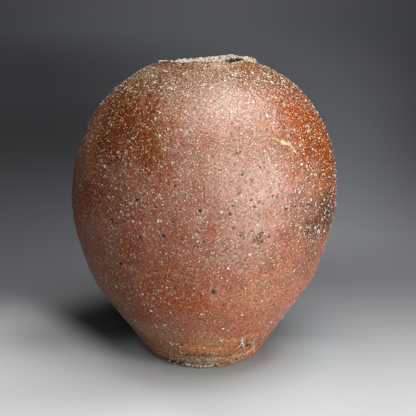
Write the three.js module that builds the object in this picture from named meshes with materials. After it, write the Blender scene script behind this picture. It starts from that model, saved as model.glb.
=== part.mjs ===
// A stoneware tsubo, a storage jar built by stacking rings of clay on a round base slab.
// The neck has broken away at its root, so the jar ends in a low, uneven stump.
// Millimetres, +Z up. The origin is the centre of the underside.
import * as THREE from "three";

// Outer profile: radii and rises of its stations, from the foot up to the root of the neck
const FOOT_RADIUS = 70;
const LOWER_WALL_RISE = 107; // foot to the bend where the first built stage ends
const BEND_RADIUS = 141.5;
const BELLY_RISE = 98; // bend to the widest point
const BELLY_RADIUS = 166;
const SHOULDER_RISE = 163; // widest point to the root of the neck
const NECK_ROOT_RADIUS = 69.5;

// Lean of the wall away from the vertical at a station, outwards positive, in degrees
const FOOT_LEAN = 32;
const BEND_LEAN = 26.5;
const NECK_LEAN = -67;

// How far each station's lean carries along the wall before the curve leaves it
const FOOT_REACH = 80;
const BEND_REACH_BELOW = 32;
const BEND_REACH_ABOVE = 8;
const BELLY_REACH_BELOW = 29.5;
const BELLY_REACH_ABOVE = 111;
const NECK_REACH = 30;

// Wall and base
const FOOT_WALL = 14;
const SHOULDER_WALL = 10.5;
const BASE_THICKNESS = 22;
const FOOT_EDGE_ROUND = 3;

// Rings of clay in each built stage, and the joint between two rings
const LOWER_WALL_RINGS = 3;
const BELLY_RINGS = 3;
const SHOULDER_RINGS = 6;
const JOINT_LAP = 7; // a ring reaches this much further down on the inside, over the ring below
const JOINT_GAP = 0.3; // film of slip between two joined pieces

// Stump of the neck, and the line of the break around it
const NECK_RADIUS = 59.5;
const NECK_WALL = 10.5;
const STUMP_RISE = 7; // neck root to the mean height of the break
const BREAK_WAVES = [
  { count: 1, height: 2.4, turn: -40 },
  { count: 2, height: 1.6, turn: 62 },
  { count: 3, height: 1.2, turn: 60 },
  { count: 7, height: 0.5, turn: 10 },
  { count: 11, height: 0.4, turn: 25 },
];

// How far the jar's middle line has slumped sideways, along X
const BELLY_SWAY = -1.4;
const NECK_SWAY = 4.2;

// Facets
const SEGMENTS = 60;
const OUTER_STEPS = 3;
const INNER_STEPS = 2;
const FILLET_STEPS = 3;
const HEIGHT_HALVINGS = 40; // bisection steps when looking up a height on the wall

const BEND_HEIGHT = LOWER_WALL_RISE;
const BELLY_HEIGHT = BEND_HEIGHT + BELLY_RISE;
const NECK_ROOT_HEIGHT = BELLY_HEIGHT + SHOULDER_RISE;

// Colours of the fired clay, and its roughness where the kiln gave it a sheen and where it is dry
const BASE_COLOUR = 0x8f7a63;
const LOWER_WALL_COLOUR = 0x96583f;
const BELLY_COLOUR = 0xa4644d;
const SHOULDER_COLOUR = 0x8c4f37;
const BREAK_COLOUR = 0xb9a58e;
const SHEEN_ROUGHNESS = 0.5;
const DRY_ROUGHNESS = 0.85;

// A step of the given length along a wall that leans from the vertical
function leaning(degrees, length) {
  const lean = THREE.MathUtils.degToRad(degrees);
  return new THREE.Vector2(Math.sin(lean), Math.cos(lean)).multiplyScalar(length);
}

// One stretch of the profile, leaving each end along its own lean
function stretch(from, fromLean, fromReach, to, toLean, toReach) {
  const leaving = from.clone().add(leaning(fromLean, fromReach));
  const arriving = to.clone().sub(leaning(toLean, toReach));
  return new THREE.CubicBezierCurve(from, leaving, arriving, to);
}

const foot = new THREE.Vector2(FOOT_RADIUS, 0);
const bend = new THREE.Vector2(BEND_RADIUS, BEND_HEIGHT);
const belly = new THREE.Vector2(BELLY_RADIUS, BELLY_HEIGHT);
const neckRoot = new THREE.Vector2(NECK_ROOT_RADIUS, NECK_ROOT_HEIGHT);

const profile = new THREE.CurvePath();
profile.add(stretch(foot, FOOT_LEAN, FOOT_REACH, bend, BEND_LEAN, BEND_REACH_BELOW));
profile.add(stretch(bend, BEND_LEAN, BEND_REACH_ABOVE, belly, 0, BELLY_REACH_BELOW));
profile.add(stretch(belly, 0, BELLY_REACH_ABOVE, neckRoot, NECK_LEAN, NECK_REACH));

// Distances along the wall from the foot
const [bendDistance, bellyDistance, wallLength] = profile.getCurveLengths();

// A point of the outer profile, by its distance along the wall from the foot
function outerAt(distance) {
  return profile.getPointAt(THREE.MathUtils.clamp(distance / wallLength, 0, 1));
}

// The point of the inner face straight through the wall from there
function innerAt(distance) {
  const share = THREE.MathUtils.clamp(distance / wallLength, 0, 1);
  const along = profile.getTangentAt(share);
  const thickness = THREE.MathUtils.lerp(FOOT_WALL, SHOULDER_WALL, share);
  return profile.getPointAt(share).sub(new THREE.Vector2(along.y, -along.x).multiplyScalar(thickness));
}

// The distance along the wall at which the face given by pointAt passes a height
function distanceAtHeight(pointAt, height) {
  let low = 0;
  let high = wallLength;
  for (let halving = 0; halving < HEIGHT_HALVINGS; halving++) {
    const middle = (low + high) / 2;
    if (pointAt(middle).y < height) low = middle;
    else high = middle;
  }
  return low;
}

const slabTop = distanceAtHeight(outerAt, BASE_THICKNESS);

// Points of a face of the wall between two distances, both ends included
function facePoints(pointAt, from, to, steps) {
  return Array.from({ length: steps + 1 }, (_, i) => pointAt(THREE.MathUtils.lerp(from, to, i / steps)));
}

// Sideways slump of the jar's middle line at a height
function sway(height) {
  const belowBend = THREE.MathUtils.smoothstep(height, 0, BEND_HEIGHT);
  const aboveBend = THREE.MathUtils.smoothstep(height, BEND_HEIGHT, NECK_ROOT_HEIGHT);
  return BELLY_SWAY * belowBend + (NECK_SWAY - BELLY_SWAY) * aboveBend;
}

// Height of the break above the neck root, around the mouth
function breakRise(angle) {
  return BREAK_WAVES.reduce((rise, { count, height, turn }) => {
    const fromCrest = angle - THREE.MathUtils.degToRad(turn);
    return rise + height * Math.cos(count * fromCrest);
  }, STUMP_RISE);
}

// A closed section turned around the jar, then shaped point by point as the hand left it
function turned(name, section, color, roughness, shape = (point) => point) {
  const geometry = new THREE.LatheGeometry([...section, section[0]], SEGMENTS).rotateX(Math.PI / 2);
  const position = geometry.getAttribute("position");
  const point = new THREE.Vector3();
  for (let i = 0; i < position.count; i++) {
    shape(point.fromBufferAttribute(position, i));
    position.setXYZ(i, point.x + sway(point.z), point.y, point.z);
  }
  geometry.computeVertexNormals();
  const mesh = new THREE.Mesh(geometry, new THREE.MeshStandardMaterial({ color, roughness, metalness: 0 }));
  mesh.name = name;
  return mesh;
}

// The round slab that the wall stands on, its edge carried on from the line of the wall
function baseSlab() {
  const rim = outerAt(slabTop);
  const edge = outerAt(distanceAtHeight(outerAt, FOOT_EDGE_ROUND));
  const underside = new THREE.Vector2(FOOT_RADIUS - FOOT_EDGE_ROUND, 0);
  const round = new THREE.QuadraticBezierCurve(underside, foot, edge).getPoints(FILLET_STEPS);
  const section = [new THREE.Vector2(0, 0), ...round, rim, new THREE.Vector2(0, BASE_THICKNESS)];
  return turned("base_slab", section, BASE_COLOUR, DRY_ROUGHNESS);
}

// Where a ring starts on its outer and inner face: the first stands flat on the slab, the others lap down
function lowerEdge(from) {
  if (from > slabTop) return { outer: from + JOINT_GAP, inner: from + JOINT_GAP - JOINT_LAP };
  const seat = BASE_THICKNESS + JOINT_GAP;
  return { outer: distanceAtHeight(outerAt, seat), inner: distanceAtHeight(innerAt, seat) };
}

// One ring of the wall, between two distances along it
function wallRing(name, from, to, color) {
  const start = lowerEdge(from);
  const outer = facePoints(outerAt, start.outer, to, OUTER_STEPS);
  const inner = facePoints(innerAt, start.inner, to - JOINT_LAP, INNER_STEPS);
  return turned(name, [...outer, ...inner.reverse()], color, SHEEN_ROUGHNESS);
}

// What is left of the neck: it laps over the last ring, turns up, and ends at the break
function neckStump() {
  const breakHeight = NECK_ROOT_HEIGHT + STUMP_RISE;
  const lapStart = innerAt(wallLength + JOINT_GAP - JOINT_LAP);
  const rise = leaning(NECK_LEAN, 1);
  const turnUp = (from, radius) => {
    const corner = from.clone().addScaledVector(rise, (radius - from.x) / rise.x);
    const top = new THREE.Vector2(radius, breakHeight);
    return new THREE.QuadraticBezierCurve(from, corner, top).getPoints(FILLET_STEPS);
  };
  const seam = neckRoot.clone().addScaledVector(rise, JOINT_GAP);
  const outer = turnUp(seam, NECK_RADIUS);
  const inner = turnUp(lapStart, NECK_RADIUS - NECK_WALL);
  const toBreak = (point) => {
    const above = Math.max(0, point.z - NECK_ROOT_HEIGHT);
    point.z += above * (breakRise(Math.atan2(point.y, point.x)) / STUMP_RISE - 1);
  };
  return turned("neck_stump", [...outer, ...inner.reverse()], BREAK_COLOUR, DRY_ROUGHNESS, toBreak);
}

// The rings of one built stage, evenly spaced between two distances along the wall
function stage(name, count, from, to, color) {
  const seamAt = (i) => THREE.MathUtils.lerp(from, to, i / count);
  return Array.from({ length: count }, (_, i) =>
    wallRing(`${name}_ring_${i + 1}`, seamAt(i), seamAt(i + 1), color),
  );
}

const jar = new THREE.Group();
jar.name = "tsubo_jar";
jar.add(
  baseSlab(),
  ...stage("lower_wall", LOWER_WALL_RINGS, slabTop, bendDistance, LOWER_WALL_COLOUR),
  ...stage("belly", BELLY_RINGS, bendDistance, bellyDistance, BELLY_COLOUR),
  ...stage("shoulder", SHOULDER_RINGS, bellyDistance, wallLength, SHOULDER_COLOUR),
  neckStump(),
);

export default jar;
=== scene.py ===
"""Looks of a ring-built stoneware tsubo: red-brown and gritty, with a worn foot and a broken neck."""
import math

import bmesh
import bpy
import numpy as np
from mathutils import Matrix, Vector
from mathutils.bvhtree import BVHTree


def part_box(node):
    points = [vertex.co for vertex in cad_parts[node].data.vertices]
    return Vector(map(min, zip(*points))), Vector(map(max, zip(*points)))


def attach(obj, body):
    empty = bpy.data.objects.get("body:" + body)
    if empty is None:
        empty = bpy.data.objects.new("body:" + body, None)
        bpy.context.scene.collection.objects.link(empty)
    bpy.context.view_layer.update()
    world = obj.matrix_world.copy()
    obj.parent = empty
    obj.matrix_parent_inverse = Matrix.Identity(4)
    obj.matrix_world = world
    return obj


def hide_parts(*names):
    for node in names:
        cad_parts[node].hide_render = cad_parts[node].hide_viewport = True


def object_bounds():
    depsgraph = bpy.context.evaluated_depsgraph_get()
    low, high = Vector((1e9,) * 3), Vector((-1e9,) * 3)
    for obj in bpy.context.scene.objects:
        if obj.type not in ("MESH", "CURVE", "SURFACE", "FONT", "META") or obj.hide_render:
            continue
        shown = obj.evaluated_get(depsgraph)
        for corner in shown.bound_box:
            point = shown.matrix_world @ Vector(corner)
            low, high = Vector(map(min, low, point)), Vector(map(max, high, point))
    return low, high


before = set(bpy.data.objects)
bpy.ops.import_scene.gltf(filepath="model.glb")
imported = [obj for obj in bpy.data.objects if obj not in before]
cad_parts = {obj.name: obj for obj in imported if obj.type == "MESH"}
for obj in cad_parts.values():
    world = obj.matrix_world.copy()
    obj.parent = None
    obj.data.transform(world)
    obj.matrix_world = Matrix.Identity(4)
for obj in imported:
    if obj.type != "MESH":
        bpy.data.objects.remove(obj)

CAD_LOW, CAD_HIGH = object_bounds()
MM = 0.001
SEED = 7

# The frame's pieces, from the foot up
SLAB = "base_slab"
RINGS = [f"lower_wall_ring_{i}" for i in (1, 2, 3)]
RINGS += [f"belly_ring_{i}" for i in (1, 2, 3)]
RINGS += [f"shoulder_ring_{i}" for i in (1, 2, 3, 4, 5, 6)]
NECK = "neck_stump"

# Fineness of the meshes
COLUMNS = 900
ROW_STEP = 1.2 * MM
INNER_ROW_STEP = 5 * MM
ANGLES = np.arange(COLUMNS) * (2 * math.pi / COLUMNS)

# How many pits, grains and crumbs are scattered; of the grains tried, more stay where the grit is crowded
STRAY_PITS = 160
GRAIN_TRIES = 30000
NECK_GRAINS = 150
STRAY_CRUMBS = 70

# The camera of the photograph, whose frame is IMAGE pixels wide and high
IMAGE = 416
CAMERA_AT = Vector((0, -1.2, 0.4744))
CAMERA_PITCH = math.radians(13.40)
CAMERA_YAW = math.radians(0.253)
SENSOR = 36.0
LENS = 84.19

# Dark pits in the wall: a pixel's two numbers, and radius in millimetres, taken times PIT_SCALE
PIT_SCALE = 0.92
PITS = [
    (136, 200, 3.0), (111, 221, 3.8), (139, 237, 3.0), (120, 264, 2.4), (102, 271, 2.8), (154, 206, 2.2),
    (162, 236, 2.2), (158, 236, 1.3), (99, 238, 1.4), (121, 202, 1.2), (236, 153, 2.3), (233, 155, 1.5),
    (239, 151, 1.3), (242, 174, 1.7), (252, 180, 1.3), (238, 193, 1.3), (250, 200, 1.4), (199, 211, 2.4),
    (233, 206, 2.2), (229, 214, 2.4), (225, 217, 1.4), (232, 227, 1.7), (240, 235, 1.8), (243, 238, 1.5),
    (197, 232, 1.8), (202, 241, 1.6), (208, 247, 1.2), (194, 249, 1.2), (254, 206, 1.5), (259, 202, 1.5),
    (262, 202, 1.2), (272, 196, 1.4), (277, 197, 1.3), (285, 208, 1.8), (295, 206, 1.4), (268, 236, 1.7),
    (261, 242, 1.4), (271, 256, 1.6), (281, 258, 2.0), (247, 264, 1.5), (251, 231, 1.3), (244, 260, 1.2),
    (265, 274, 1.3), (179, 210, 1.3), (213, 252, 1.6), (260, 167, 1.2), (236, 359, 2.6),
]

# Stones in the wall: likewise, with STONE_SCALE, and then a shade from white at 0 to slate at 1
STONE_SCALE = 0.85
STONES = [
    (215, 291, 6.0, 1.0), (110, 221, 1.2, 0.1), (118, 217, 1.6, 0.4), (120, 211, 2.2, 0.4),
    (132, 221, 2.2, 0.4), (157, 221, 2.2, 0.2), (159, 221, 1.6, 0.9), (137, 236, 1.6, 0.5),
    (160, 236, 1.3, 0.1), (135, 197, 1.2, 0.2), (193, 183, 2.0, 0.7), (184, 192, 1.7, 0.6),
    (220, 212, 2.2, 0.3), (232, 204, 1.9, 0.6), (253, 209, 1.8, 0.6), (198, 213, 1.7, 0.6),
    (235, 213, 1.4, 0.8), (235, 236, 1.5, 0.1), (195, 234, 1.6, 0.4), (197, 241, 2.0, 0.3),
    (188, 251, 2.1, 0.6), (214, 252, 2.2, 0.4), (231, 248, 1.7, 0.5), (190, 261, 1.8, 0.5),
    (166, 253, 1.7, 0.0), (162, 261, 1.5, 0.0), (185, 237, 1.5, 0.1), (206, 222, 1.5, 0.0),
    (204, 217, 1.3, 0.0), (199, 217, 1.3, 0.0), (277, 212, 1.8, 0.6), (303, 198, 1.6, 0.0),
    (307, 201, 1.6, 0.1), (305, 211, 1.8, 0.1), (298, 192, 1.8, 0.3), (300, 227, 2.0, 0.1),
    (282, 226, 1.9, 0.3), (267, 237, 1.3, 0.0), (278, 258, 1.9, 0.4), (250, 255, 1.7, 0.4),
    (258, 245, 1.3, 0.1), (285, 206, 1.5, 0.3), (185, 307, 1.6, 0.7), (211, 281, 1.6, 0.6),
    (224, 245, 1.2, 0.0), (226, 243, 1.2, 0.0), (126, 236, 1.3, 0.1), (143, 229, 1.2, 0.1),
    (149, 226, 1.2, 0.1), (108, 259, 1.7, 0.6), (101, 246, 1.2, 0.2), (107, 248, 1.3, 0.1),
    (119, 254, 1.3, 0.1), (158, 87, 2.2, 0.1), (218, 110, 2.0, 0.2), (310, 174, 2.0, 0.3),
    (254, 63, 1.1, 0.2), (257, 64, 1.3, 0.0), (259, 65, 0.9, 0.3), (262, 67, 1.2, 0.1), (265, 69, 0.9, 0.2),
    (189, 63, 1.2, 0.0), (203, 66, 1.1, 0.1), (216, 67, 1.4, 0.1), (242, 64, 1.4, 0.0), (237, 74, 1.2, 0.0),
    (183, 72, 1.5, 0.0), (154, 76, 1.6, 0.0), (168, 80, 1.3, 0.1), (187, 79, 1.2, 0.0), (160, 86, 1.9, 0.1),
    (204, 75, 1.6, 0.4),
]


# Noise and easing

NOISE_CELLS = 256
LAST_CELL = NOISE_CELLS - 1
NOISE_GAIN = 1.6
SEED_SHIFT = 17.31


def noise_tables():
    """A shuffled order and a set of unit directions for gradient noise."""
    draw = np.random.default_rng(SEED)
    ways = draw.normal(size=(NOISE_CELLS, 3))
    return draw.permutation(NOISE_CELLS), ways / np.linalg.norm(ways, axis=1, keepdims=True)


ORDER, WAYS = noise_tables()


def noise(points, size, seed=0):
    """Smooth noise from about -1 to 1; size, one or three numbers, is its bumps' width in millimetres."""
    place = points / (np.asarray(size) * MM) + SEED_SHIFT * seed
    cell = np.floor(place).astype(np.int64)
    part = place - cell
    blend = part ** 3 * (part * (part * 6 - 15) + 10)
    total = np.zeros(points.shape[:-1])
    for corner in np.ndindex(2, 2, 2):
        x, y, z = ((cell[..., k] + corner[k]) & LAST_CELL for k in range(3))
        way = WAYS[ORDER[(ORDER[(ORDER[x] + y) & LAST_CELL] + z) & LAST_CELL]]
        weight = 1.0
        slope = 0.0
        for k in range(3):
            weight = weight * (blend[..., k] if corner[k] else 1 - blend[..., k])
            slope = slope + way[..., k] * (part[..., k] - corner[k])
        total += weight * slope
    return total * NOISE_GAIN


def layers(points, size, count, seed=0):
    """Noise with finer and fainter noise on top."""
    size = np.asarray(size, float)
    return sum(noise(points, size / 2 ** i, seed + i) / 2 ** i for i in range(count))


def bumps(points, table):
    """Noises added up, each with its height, size and seed."""
    return sum(height * noise(points, size, seed) for height, size, seed in table)


def ease(value, low, high):
    """0 below low, 1 above high, and smooth between them."""
    share = np.clip((value - low) / (high - low), 0, 1)
    return share * share * (3 - 2 * share)


def unit(vectors):
    """Vectors of length 1."""
    return vectors / np.linalg.norm(vectors, axis=-1, keepdims=True)


# The wall's profile, read from the frame

def cad_tree():
    """One search tree over the CAD nodes."""
    corners = []
    faces = []
    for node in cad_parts.values():
        first = len(corners)
        corners += [vertex.co.copy() for vertex in node.data.vertices]
        faces += [[first + i for i in face.vertices] for face in node.data.polygons]
    return BVHTree.FromPolygons(corners, faces)


TREE = cad_tree()


def probe(height, inside):
    """Radius and sideways place of the wall's outer or inner face at a height, from two rays along X."""
    start = 0.0 if inside else 1.0
    hits = []
    for side in (1, -1):
        way = Vector((side if inside else -side, 0, 0))
        hit = TREE.ray_cast(Vector((side * start, 0, height)), way)[0]
        hits.append(hit.x if hit else math.nan)
    return (hits[0] - hits[1]) / 2, (hits[0] + hits[1]) / 2


def without_gaps(values, reach=4):
    """Values with the odd one out, where a ray slips into a joint, replaced by the median around it."""
    padded = np.pad(values, reach, mode="edge")
    return np.nanmedian(np.lib.stride_tricks.sliding_window_view(padded, 2 * reach + 1), axis=1)


def smoothed(values, width):
    """Values blurred over a number of samples, with their ends held."""
    reach = 3 * width
    kernel = np.exp(-0.5 * (np.arange(-reach, reach + 1) / width) ** 2)
    before = 2 * values[0] - values[reach:0:-1]
    after = 2 * values[-1] - values[-2:-reach - 2:-1]
    return np.convolve(np.concatenate([before, values, after]), kernel / kernel.sum(), "valid")


class Face:
    """The outer or inner face of the wall: a smooth profile by distance along it from its foot."""

    PROBES = 700
    BLUR = 9

    def __init__(self, low, high, inside):
        heights = np.linspace(low, high, self.PROBES)
        radius, sway = (without_gaps(found) for found in np.array([probe(z, inside) for z in heights]).T)
        along = np.concatenate([[0], np.cumsum(np.hypot(np.diff(radius), np.diff(heights)))])
        self.length = along[-1]
        self.distance = np.linspace(0, self.length, self.PROBES)
        even = [np.interp(self.distance, along, values) for values in (radius, heights, sway)]
        self.radius, self.height, self.sway = (smoothed(values, self.BLUR) for values in even)
        self.out = unit(np.stack([np.gradient(self.height), -np.gradient(self.radius)], -1))

    def at_height(self, height):
        """Distance along the face at a height."""
        return float(np.interp(height, self.height, self.distance))

    def points(self, angle, distance):
        """Places on the face and its normals, for arrays of angles and distances."""
        radius, height, sway, out_r, out_z = (
            np.interp(distance, self.distance, values)
            for values in (self.radius, self.height, self.sway, self.out[:, 0], self.out[:, 1])
        )
        past = distance - np.clip(distance, 0, self.length)
        radius, height = radius - past * out_z, height + past * out_r
        cos, sin = np.cos(angle), np.sin(angle)
        place = np.stack([sway + radius * cos, radius * sin, height + 0 * angle], -1)
        normal = np.stack([out_r * cos, out_r * sin, out_z + 0 * angle], -1)
        return place, normal


SLAB_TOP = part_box(SLAB)[1].z
NECK_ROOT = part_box(RINGS[-1])[1].z
NECK_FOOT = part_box(NECK)[0].z
OUTER = Face(3.5 * MM, NECK_ROOT - 0.1 * MM, inside=False)
INNER = Face(SLAB_TOP + 0.5 * MM, NECK_FOOT, inside=True)


# Places given by a pixel of the photograph

def sight(pixel):
    """Direction from the camera through a pixel."""
    forward = Vector((math.sin(CAMERA_YAW) * math.cos(CAMERA_PITCH),
                      math.cos(CAMERA_YAW) * math.cos(CAMERA_PITCH), -math.sin(CAMERA_PITCH)))
    right = Vector((math.cos(CAMERA_YAW), -math.sin(CAMERA_YAW), 0))
    up = right.cross(forward)
    pixel_angle = SENSOR / LENS / IMAGE
    across, down = ((value + 0.5 - IMAGE / 2) * pixel_angle for value in pixel)
    return (forward + right * across - up * down).normalized()


def seen_at(pixel):
    """Place on the wall under a pixel, or nearest to a pixel just beside the jar."""
    way = sight(pixel)
    hit = TREE.ray_cast(CAMERA_AT, way)[0]
    return np.array(hit or TREE.find_nearest(CAMERA_AT + way * CAMERA_AT.xy.length)[0])


def near(points, pixel, radius, ragged=0.0, stretch=(1, 1, 1)):
    """1 around the place under a pixel, falling to 0 at a radius in millimetres; ragged roughens the edge."""
    apart = np.linalg.norm((points - seen_at(pixel)) / np.asarray(stretch), axis=-1) / (radius * MM)
    if ragged:
        close = apart < 1 + 2 * ragged
        apart[close] += ragged * layers(points[close], 0.6 * radius, 3, 5)
    return 1 - ease(apart, 0.35, 1.0)


def stroke(points, pixels, width):
    """1 on a line drawn through pixels, fading to 0 on either side at 0.6 of a width in millimetres."""
    line = np.array([seen_at(pixel) for pixel in pixels])
    apart = np.full(points.shape[:-1], 1.0)
    reach = width * MM
    close = np.all((points > line.min(0) - reach) & (points < line.max(0) + reach), axis=-1)
    for start, end in zip(line[:-1], line[1:]):
        along = end - start
        share = np.clip((points[close] - start) @ along / (along @ along), 0, 1)
        gap = np.linalg.norm(points[close] - start - share[:, None] * along, axis=-1)
        apart[close] = np.minimum(apart[close], gap)
    return 1 - ease(apart / reach, 0.1, 0.6)


def strokes(points, lines, width):
    """Several lines of one width; the strongest counts."""
    return np.maximum.reduce([stroke(points, line, width) for line in lines])


# Relief of the outer face

def all_pits():
    """Centres and radii of the pits: those of the photograph, and others scattered over the whole wall."""
    found = [(seen_at(pixel), PIT_SCALE * radius * MM) for *pixel, radius in PITS]
    draw = np.random.default_rng(SEED + 1)
    angles = draw.uniform(0, 2 * math.pi, STRAY_PITS)
    distances = draw.triangular(0.2, 0.45, 0.95, STRAY_PITS) * OUTER.length
    radii = draw.uniform(0.5, 1.2, STRAY_PITS) * MM
    places = OUTER.points(angles, distances)[0]
    return found + list(zip(places, radii))


ALL_PITS = all_pits()


def pitted(points):
    """0 on sound wall to 1 at the bottom of a pit; the pits are uneven in outline."""
    depth = np.zeros(points.shape[:-1])
    for centre, radius in ALL_PITS:
        close = np.all(np.abs(points - centre) < 2.5 * radius, axis=-1)
        beside = points[close]
        apart = np.linalg.norm(beside - centre, axis=-1) / radius + 0.8 * noise(beside, radius / MM, 13)
        depth[close] = np.maximum(depth[close], 1 - ease(apart, 0.65, 1.25))
    return depth


# Lines on the wall, by the pixels that they pass
FOOT_JOINT = [(172, 357), (180, 356), (190, 356), (205, 357), (216, 357), (227, 356)]
# painted shade: along this line a soft dark band is painted into the groove of the foot's joint, under the
# overhanging coil
SHADED_JOINT = FOOT_JOINT[2:]
FOOT_RIDGE = [(178, 349), (200, 350), (225, 349), (240, 346)]
FOOT_BARE = [(176, 361), (190, 362), (205, 362), (218, 362)]
FOOT_LEDGE = [(188, 365), (200, 366), (213, 366)]
# FOOT_GAPS: painted shade, black along the foot's lifted left edge and in a hole at its front, where the gap
# under the foot lies in shadow
FOOT_GAPS = [[(163, 359), (171, 362)], [(173, 362), (180, 364), (184, 365)], [(213, 365.5), (216, 365.5)]]
SOOT_STREAKS = [
    [(285, 208), (290, 207), (295, 206)], [(293, 216), (297, 213)], [(160, 215), (165, 216), (170, 216)],
    [(170, 219), (171, 223), (172, 226)], [(273, 199), (273, 206)], [(273, 219), (276, 222)],
    [(300, 252), (305, 249)], [(305, 247), (309, 247)], [(199, 207), (200, 211)], [(277, 258), (282, 258)],
    [(256, 237), (259, 233)], [(123, 161), (132, 161)], [(248, 343), (252, 339), (256, 335)],
]
FOOT_SCRAPES = [[(241, 357), (247, 351), (252, 348)], [(248, 358), (253, 354), (258, 350)]]
RING_MARK = [(95, 173), (91, 172), (88, 175), (88, 179), (91, 182), (95, 181)]

# Single marks: pixel, radius in millimetres and raggedness
FOOT_KNOCK = ((256, 352), 26, 0.4)
BARE_FOOT = ((197, 361), 56, 0.5)
OCHRE_GAP = ((254, 338), 24, 0.4)

# Unevenness, as noise: height and size in millimetres, and seed
WALL_BUMPS = [(0.9, 95, 1), (0.5, 42, 2), (0.25, 17, 3), (0.15, 5, 8), (0.14, 2.8, 9)]
TORN_FOOT = [(0.55, (16, 16, 3.5), 11), (0.4, 4, 12)]
KNOCKED_FOOT = [(0.7, 7, 14), (0.6, 3.5, 15)]
FOOT_LOSS = [(1.2, 22, 63), (1.1, 6, 64), (0.6, 3, 65)]
FINGER_MARKS = [(0.5, 30, 41), (0.35, (60, 60, 9), 42)]
BREAK_LINE = [(0.7, 9, 51), (0.5, 4, 52)]
BREAK_FACE = [(1.0, 6, 53), (0.8, 2.8, 54), (0.4, 1.4, 55)]

# Marks of wiping: height on the whole wall, further height on the lower wall, then size and seed as above
WIPE_MARKS = [(0.14, 0.25, (90, 90, 4.5), 4), (0.04, 0.12, (60, 60, 2.2), 6)]

# Ridges and grooves: height and width in millimetres, and the line
RIDGES = [(0.8, 14, FOOT_RIDGE), (-0.8, 10, FOOT_JOINT), (1.1, 5, FOOT_LEDGE), (0.7, 2.6, RING_MARK)]
RIDGES += [(1.4, 6.5, scrape) for scrape in FOOT_SCRAPES]
RIDGES += [(-0.4, 2.0, streak) for streak in SOOT_STREAKS]

# A swelling and a burst: height in millimetres, then pixel, radius and raggedness as above
RAISED_MARKS = [(2.4, (261, 349), 14, 0.3), (-1.2, (243, 343), 7, 0.5)]
PIT_DEPTH = 1.5

# How softly the relief stops at the widest ring
ROOM_BLEND = 0.15 * MM


def relief(points, pits):
    """How far the wall stands out of its smooth profile, in metres; nowhere wider than its widest ring."""
    height = points[..., 2] / MM
    lower = 1 - ease(height, 90, 150)
    foot = 1 - ease(height, 14, 34)
    raised = bumps(points, WALL_BUMPS) + foot * bumps(points, TORN_FOOT)
    raised += near(points, *FOOT_KNOCK) * bumps(points, KNOCKED_FOOT)
    for everywhere, below, size, seed in WIPE_MARKS:
        raised += (everywhere + below * lower) * noise(points, size, seed)
    for rise, width, line in RIDGES:
        raised += rise * stroke(points, line, width)
    for rise, *mark in RAISED_MARKS:
        raised += rise * near(points, *mark)
    raised = (raised - PIT_DEPTH * pits) * MM
    room = OUTER.radius.max() - np.interp(points[..., 2], OUTER.height, OUTER.radius)
    return -ROOM_BLEND * np.logaddexp(-raised / ROOM_BLEND, -room / ROOM_BLEND)


# Zones of colour on the outer face

# Patches of each zone, of the chipped foot and of the smoky grit: share, pixel, radius in millimetres,
# raggedness, and stretch along X, Y and Z if any
PATCHES = {
    "smoke_and_joint_shade": [
        (1, (331, 207), 54, 0.6, (1, 1.7, 0.5)), (0.7, (324, 206), 36, 0.6),
    ],
    "haze": [
        (0.7, (315, 228), 36, 0.6, (1, 1.5, 0.7)), (0.45, (302, 216), 46, 0.6), (0.3, (310, 250), 50, 0.5),
        (0.8, (258, 238), 9, 0.6), (0.5, (290, 209), 13, 0.6), (0.5, (185, 282), 24, 0.6),
        (0.22, (222, 272), 40, 0.6), (0.28, (253, 343), 26, 0.5),
    ],
    "ash": [
        (0.6, (146, 74), 26, 0.9, (1.6, 1, 0.7)), (0.9, (128, 89), 6, 0.5),
    ],
    "ochre": [
        (1, (162, 346), 50, 0.5), (0.9, (213, 349), 50, 0.6, (1.5, 1, 0.7)), (0.8, (238, 356), 30, 0.5),
        (0.35, (264, 290), 44, 0.5), (0.4, (82, 150), 60, 0.4), (0.5, (174, 338), 34, 0.5),
    ],
    "scorch": [
        (0.9, (320, 135), 72, 0.4), (0.65, (108, 282), 115, 0.25), (0.6, (166, 292), 66, 0.25),
        (0.3, (104, 205), 80, 0.4),
    ],
    "brown": [
        (1, (117, 113), 74, 0.4), (0.55, (327, 150), 80, 0.4), (0.3, (115, 285), 80, 0.4),
        (0.55, (246, 70), 36, 0.4), (0.55, (152, 120), 42, 0.5), (0.5, (307, 214), 26, 0.6),
        (0.2, (160, 88), 56, 0.4), (0.65, (140, 136), 50, 0.6), (0.55, (285, 80), 50, 0.4),
        (0.45, (314, 248), 44, 0.5),
    ],
    # painted highlight and light: the patches in front lighten the clay where the soft boxes' sheen falls on
    # it and on its shaded left side
    "pale_patch_and_highlight": [
        (1, (240, 185), 72, 0.5), (1, (226, 110), 46, 0.5), (0.95, (260, 130), 46, 0.5),
        (0.9, (262, 112), 38, 0.5), (0.85, (260, 150), 42, 0.5), (0.95, (180, 94), 48, 0.6),
        (0.5, (190, 142), 42, 0.6), (0.8, (200, 120), 36, 0.6), (0.9, (240, 140), 42, 0.6),
        (0.5, (190, 178), 36, 0.6), (0.3, (160, 210), 32, 0.6), (0.5, (200, 208), 40, 0.6),
        (0.15, (228, 290), 30, 0.6), (0.6, (296, 195), 60, 0.6), (0.95, (244, 232), 46, 0.6),
        (0.7, (254, 244), 54, 0.6), (0.25, (310, 252), 50, 0.6), (0.45, (132, 177), 40, 0.7),
        (0.25, (84, 160), 46, 0.5), (0.3, (106, 212), 30, 0.7), (0.35, (112, 258), 20, 0.7),
    ],
    "bare": [
        (0.7, (238, 361), 24, 0.6), (0.35, (165, 352), 30, 0.6),
    ],
    "char_and_shade": [
        # painted shade: the black cavity on the shaded side of the burst stone
        (0.8, (246, 345), 5, 0.5),
    ],
    "chipped": [
        (1, (175, 363), 34, 0.4), (0.5, (258, 356), 16, 0.3),
    ],
    "smoky_grit": [
        (0.75, (327, 205), 44, 0.5, (1, 1.7, 0.7)), (1, (314, 228), 36, 0.5),
    ],
}


def patches_of(points, zone):
    """The patches of a zone, each at its share; the strongest counts."""
    return np.maximum.reduce([share * near(points, *patch) for share, *patch in PATCHES[zone]])


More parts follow.
